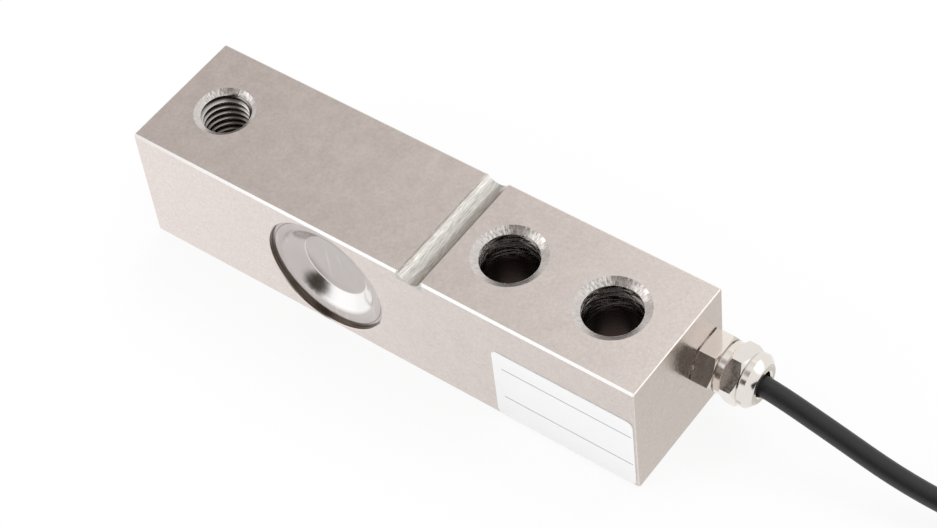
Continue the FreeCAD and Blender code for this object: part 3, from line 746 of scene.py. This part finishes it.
def make_beam_steel():
    """Milled steel with clouds, specks and scratches, the marks of how each face was cut, and painted
    highlights and shade.
    """
    material, wiring, shader = new_material("beam_steel")
    field = wiring.effect(grain, **BEAM_GRAIN)
    scratches = wiring.effect(hairlines, **BEAM_SCRATCHES)["Lines"]
    spots = wiring.noise(MOTTLE_SCALE, MOTTLE_DETAIL, roughness=MOTTLE_ROUGHNESS)
    mottle = wiring.spread(spots, *MIDDLE, *MOTTLE_SHADES)
    specks = wiring.spread(wiring.noise(SPECK_SCALE, SPECK_DETAIL), *SPECK_RANGE)
    clouded = wiring.blend(field["Clouds"], *BEAM_STEEL)
    mottled = wiring.blend(1.0, clouded, mottle, "MULTIPLY")
    steel = Surface(wiring, mottled, wiring.multiply(field["Grain"], GRAIN_HEIGHT))
    steel.paint(wiring.multiply(specks, SPECK_SHARE), SPECK_STEEL)
    steel.add_height(scratches, SCRATCH_HEIGHT)

    load_end = mark_ends(steel)
    # Painted highlight along the upper front edge
    edge = paint_edge_highlight(steel)
    mounts = [hole_field(steel, x, MOUNT_SINK_RADIUS, MOUNT_SINK_DEPTH) for x in MOUNT_X]
    load = hole_field(steel, LOAD_X, LOAD_SINK_RADIUS, LOAD_SINK_DEPTH)
    walls, painted_glint = mark_mount_walls(steel, mounts)
    paint_thread_shade(steel, load)
    sinks = mark_sinks(steel, mounts + [load])
    mark_groove(steel)
    paint_pocket_shade(steel)

    rough = wiring.spread(field["Clouds"], *MIDDLE, *BEAM_ROUGH)
    rough = wiring.highest(rough, wiring.multiply(walls, BORE_ROUGH))
    rough = wiring.highest(rough, wiring.multiply(load_end, LOAD_END_ROUGH))
    # Where highlights are painted, and in the sinks, the steel is less metallic
    painted_highlights_and_sinks = wiring.highest(edge, painted_glint, wiring.multiply(sinks, SINK_RUBBED))
    wiring.feed(shader["Base Color"], steel.colour)
    wiring.feed(shader["Roughness"], rough)
    wiring.feed(shader["Metallic"], wiring.spread(painted_highlights_and_sinks, 0.0, 1.0, METAL, HIGHLIGHT_AND_SINK_METALLIC))
    wiring.feed(shader["Normal"], bump(wiring, steel.height, BEAM_RELIEF))
    return material


# Other finishes
def make_cup_steel():
    """Pressed steel with scratches, a lighter line round the dish's floor and a painted highlight on one
    side of the dish's wall.
    """
    material, wiring, shader = make_finish("cup_steel", *FINISHES["cup_steel"])
    axes = wiring.axes()
    scratches = wiring.effect(hairlines, **CUP_SCRATCHES)["Lines"]
    field = round_field(wiring, axes["X"], axes["Z"], (POCKET_X, POCKET_Z))
    # Lighter line round the dish's floor
    floor_line = wiring.below(wiring.off(field["Distance"], CUP_FLOOR_RADIUS), CUP_FLOOR_LINE_HALF, CUP_FLOOR_LINE_EDGE)
    light = wiring.highest(
        wiring.multiply(scratches, CUP_SCRATCH_SHARE), wiring.multiply(floor_line, CUP_FLOOR_LINE_SHARE))
    in_wall = wiring.below(field["Distance"], CUP_WALL_RADIUS, CUP_SHEEN_EDGE)
    in_floor = wiring.below(field["Distance"], CUP_FLOOR_RADIUS, BROAD_EDGE)
    sheen = wiring.spread(wiring.facing(field["Angle"], CUP_SHEEN_ANGLE), *CUP_SHEEN_RANGE)
    # Painted highlight on one side of the dish's wall
    drawn = wiring.multiply(wiring.math("SUBTRACT", in_wall, in_floor), sheen)
    seam = wiring.below(wiring.off(field["Distance"], CUP_SEAM_RADIUS), CUP_SEAM_HALF, CUP_SEAM_EDGE)
    sheet = shader["Base Color"].links[0].from_socket
    sheet = wiring.blend(drawn, sheet, CUP_PAINTED_SHEEN)
    sheet = wiring.blend(light, sheet, CUP_LIGHT_STEEL)
    sheet = wiring.blend(wiring.multiply(seam, CUP_SEAM_SHARE), sheet, CUP_SEAM_STEEL)
    wiring.feed(shader["Base Color"], sheet)
    under = shader["Normal"].links[0].from_socket
    wiring.feed(shader["Normal"], bump(wiring, scratches, *CUP_SCRATCH_BUMP, under))
    return material


def make_label_foil():
    """White foil with two printed rules."""
    material, wiring, shader = make_finish("label_foil", *FINISHES["label_foil"])
    axes = wiring.axes()
    rules = 0.0
    for height in LABEL_RULES:
        rule = wiring.below(wiring.off(axes["Z"], height), LABEL_RULE_HALF, FINE_EDGE)
        rules = wiring.highest(rules, rule)
    start = wiring.math("GREATER_THAN", axes["X"], LABEL_RULE_ENDS[0] * MM)
    end = wiring.math("LESS_THAN", axes["X"], LABEL_RULE_ENDS[1] * MM)
    foil = shader["Base Color"].links[0].from_socket
    wiring.feed(shader["Base Color"], wiring.blend(wiring.multiply(rules, start, end), foil, RULE_GREY))
    return material


def make_finishes():
    """Every finish, by the record's slot."""
    finishes = {
        "beam_steel": make_beam_steel(),
        "cup_steel": make_cup_steel(),
        "label_foil": make_label_foil(),
    }
    for slot, values in FINISHES.items():
        if slot not in finishes:
            finishes[slot] = make_finish(slot, *values)[0]
    return finishes


# Shapes on the CAD nodes
def new_mesh_object(name, points, faces):
    """New object in the scene with a mesh of its own."""
    mesh = bpy.data.meshes.new(name)
    mesh.from_pydata(points, [], faces)
    mesh.validate()
    item = bpy.data.objects.new(name, mesh)
    bpy.context.scene.collection.objects.link(item)
    return item


def make_smoothing():
    """Geometry nodes that join split points and smooth all edges flatter than the limit."""
    tree = bpy.data.node_groups.new("smooth_bends", "GeometryNodeTree")
    tree.interface.new_socket("Geometry", in_out="INPUT", socket_type="NodeSocketGeometry")
    tree.interface.new_socket("Geometry", in_out="OUTPUT", socket_type="NodeSocketGeometry")
    wiring = Wiring(tree)
    given = wiring.add("NodeGroupInput").outputs[0]
    sockets = {"Geometry": given, "Distance": JOIN_DISTANCE}
    merged = wiring.add("GeometryNodeMergeByDistance", sockets).outputs[0]
    angle = wiring.add("GeometryNodeInputMeshEdgeAngle").outputs["Unsigned Angle"]
    sharp = wiring.add("FunctionNodeCompare", operation="GREATER_THAN", data_type="FLOAT")
    wiring.feed(sharp.inputs[0], angle)
    wiring.feed(sharp.inputs[1], math.radians(SMOOTH_LIMIT))
    sockets = {
        "Mesh": merged,
        "Remove Custom": True,
        "Edge Sharpness": sharp.outputs[0],
        "Face Sharpness": False,
    }
    shaded = wiring.add("GeometryNodeSetMeshNormal", sockets, mode="SHARPNESS").outputs[0]
    wiring.feed(wiring.add("NodeGroupOutput").inputs[0], shaded)
    return tree


def add_smoothing(item, tree):
    """Smooths a node's bends, with its flat faces kept flat."""
    item.modifiers.new("smooth_bends", "NODES").node_group = tree
    weights = item.modifiers.new("even_faces", "WEIGHTED_NORMAL")
    weights.keep_sharp = True
    weights.weight = FACE_WEIGHT


def thread_point(step, corner):
    """Corner of the thread's profile, a number of steps along its helix."""
    reach, along = THREAD_PROFILE[corner]
    turn = 2 * math.pi * step / THREAD_STEPS
    height = THREAD_START + THREAD_PITCH * step / THREAD_STEPS + along
    lead = smooth_step((height - THREAD_LEAD_START) / THREAD_LEAD_LENGTH)
    reach += max(THREAD_LEAD_RADIUS - reach, 0) * lead
    return (
        (LOAD_X + reach * math.cos(turn)) * MM,
        reach * math.sin(turn) * MM,
        height * MM,
    )


def make_thread_cutter():
    """Solid screw that cuts the thread of the load hole."""
    corners = len(THREAD_PROFILE)
    count = THREAD_TURNS * THREAD_STEPS
    points = [thread_point(step, corner) for step in range(count + 1) for corner in range(corners)]

    def index(step, corner):
        if corner == corners:
            return (step + THREAD_STEPS) * corners
        return step * corners + corner

    faces = []
    for step in range(count):
        last = corners if step + 1 + THREAD_STEPS <= count else corners - 1
        for corner in range(last):
            quad = [(step, corner), (step + 1, corner), (step + 1, corner + 1), (step, corner + 1)]
            faces.append(tuple(index(*place) for place in quad))
    first_loop = [index(step, 0) for step in range(THREAD_STEPS + 1)]
    first_loop += [index(0, corner) for corner in range(corners - 1, 0, -1)]
    last_loop = [index(count - THREAD_STEPS, corners - 1)]
    last_loop += [index(step, corners - 1) for step in range(count - THREAD_STEPS + 1, count + 1)]
    last_loop += [index(count, corner) for corner in range(corners - 2, -1, -1)]
    points.append((LOAD_X * MM, 0, THREAD_START * MM))
    points.append((LOAD_X * MM, 0, (THREAD_START + (THREAD_TURNS + 1) * THREAD_PITCH) * MM))
    for loop, centre in ((first_loop[::-1], len(points) - 2), (last_loop, len(points) - 1)):
        for here, there in zip(loop, loop[1:] + loop[:1]):
            faces.append((here, there, centre))
    cutter = new_mesh_object("thread_cutter", points, faces)
    cutter.hide_render = True
    cutter.hide_viewport = True
    return cutter


def cut_thread(beam):
    """Cuts the thread into the beam's load hole, with the CAD mesh kept as it is."""
    beam.modifiers.new("join_points", "WELD").merge_threshold = JOIN_DISTANCE
    cut = beam.modifiers.new("load_thread", "BOOLEAN")
    cut.operation = "DIFFERENCE"
    cut.solver = "EXACT"
    cut.object = make_thread_cutter()


# Studio
def make_room():
    """Colour of the room in a direction: white, with patches of lamp and of shaded wall."""
    tree = bpy.data.node_groups.new("room", "ShaderNodeTree")
    tree.interface.new_socket("Direction", in_out="INPUT", socket_type="NodeSocketVector")
    tree.interface.new_socket("Colour", in_out="OUTPUT", socket_type="NodeSocketColor")
    wiring = Wiring(tree)
    direction = wiring.add("NodeGroupInput").outputs[0]
    colour = ROOM_WHITE
    for centre, inner, outer, shade in ROOM_PATCHES:
        sockets = {0: direction, 1: Vector(centre).normalized()}
        facing = wiring.add("ShaderNodeVectorMath", sockets, operation="DOT_PRODUCT").outputs["Value"]
        edges = (math.cos(math.radians(outer)), math.cos(math.radians(inner)))
        colour = wiring.blend(wiring.spread(facing, *edges, smooth=True), colour, shade)
    wiring.feed(wiring.add("NodeGroupOutput").inputs[0], colour)
    return tree


def ray_kinds(wiring):
    """Masks of the rays from the camera and of the rays from a gloss or glass."""
    rays = wiring.add("ShaderNodeLightPath").outputs
    return rays["Is Camera Ray"], wiring.highest(rays["Is Glossy Ray"], rays["Is Transmission Ray"])


def make_world(room):
    """White for the camera, the room for reflections and an even light for the rest."""
    world = bpy.data.worlds.new("studio")
    world.use_nodes = True
    wiring = Wiring(world.node_tree)
    background = world.node_tree.nodes["Background"].inputs
    seen, mirrored = ray_kinds(wiring)
    direction = wiring.add("ShaderNodeTexCoord").outputs["Generated"]
    wall = wiring.effect(room, Direction=direction)["Colour"]
    colour = wiring.blend(mirrored, WORLD_GREY, wall)
    wiring.feed(background["Color"], wiring.blend(seen, colour, ROOM_WHITE))
    background["Strength"].default_value = 1.0
    bpy.context.scene.world = world


def make_floor(room):
    """White paper with the object's shadow, which reflections see as a part of the room."""
    half = FLOOR_SIZE / 2
    drop = -FLOOR_DROP
    corners = [(-half, -half, drop), (half, -half, drop), (half, half, drop), (-half, half, drop)]
    floor = new_mesh_object("floor", corners, [(0, 1, 2, 3)])
    material = bpy.data.materials.new("floor_paper")
    material.use_nodes = True
    wiring = Wiring(material.node_tree)
    material.node_tree.nodes.remove(material.node_tree.nodes["Principled BSDF"])
    seen, mirrored = ray_kinds(wiring)
    toward = wiring.add("ShaderNodeNewGeometry").outputs["Incoming"]
    sockets = {0: toward, "Scale": -1.0}
    direction = wiring.add("ShaderNodeVectorMath", sockets, operation="SCALE").outputs[0]
    colour = wiring.blend(mirrored, ROOM_WHITE, wiring.effect(room, Direction=direction)["Colour"])
    paper = wiring.add("ShaderNodeBsdfDiffuse", {"Color": FLOOR_PAPER}).outputs[0]
    glow = wiring.add("ShaderNodeEmission", {"Color": colour, "Strength": 1.0}).outputs[0]
    share = wiring.highest(wiring.multiply(seen, FLOOR_GLOW), mirrored)
    mixed = wiring.add("ShaderNodeMixShader", {0: share, 1: paper, 2: glow}).outputs[0]
    wiring.feed(material.node_tree.nodes["Material Output"].inputs["Surface"], mixed)
    floor.data.materials.append(material)


def add_softbox(name, place, size, power):
    """Soft lamp that shapes the shadows and that reflections don't show."""
    data = bpy.data.lights.new(name, "AREA")
    data.shape = "RECTANGLE"
    data.size, data.size_y = size
    data.energy = power
    lamp = bpy.data.objects.new(name, data)
    lamp.location = place
    lamp.rotation_mode = "QUATERNION"
    lamp.rotation_quaternion = (Vector(SOFTBOX_AIM) - Vector(place)).to_track_quat("-Z", "Y")
    lamp.visible_camera = False
    lamp.visible_glossy = False
    bpy.context.scene.collection.objects.link(lamp)


make_camera()
cable = make_cable()
finishes = make_finishes()
cable.data.materials.append(finishes["cable_jacket"])
for part in frame["record"]["subparts"]:
    nodes[part["node"]].material_slots[0].material = finishes[part["material_slot"]]

bends = make_smoothing()
cut_thread(nodes["beam"])
for name in ("beam", "front_cup", "rear_cup"):
    add_smoothing(nodes[name], bends)

room = make_room()
make_world(room)
make_floor(room)
for softbox in SOFTBOXES:
    add_softbox(*softbox)

bpy.context.scene.view_settings.view_transform = "Standard"
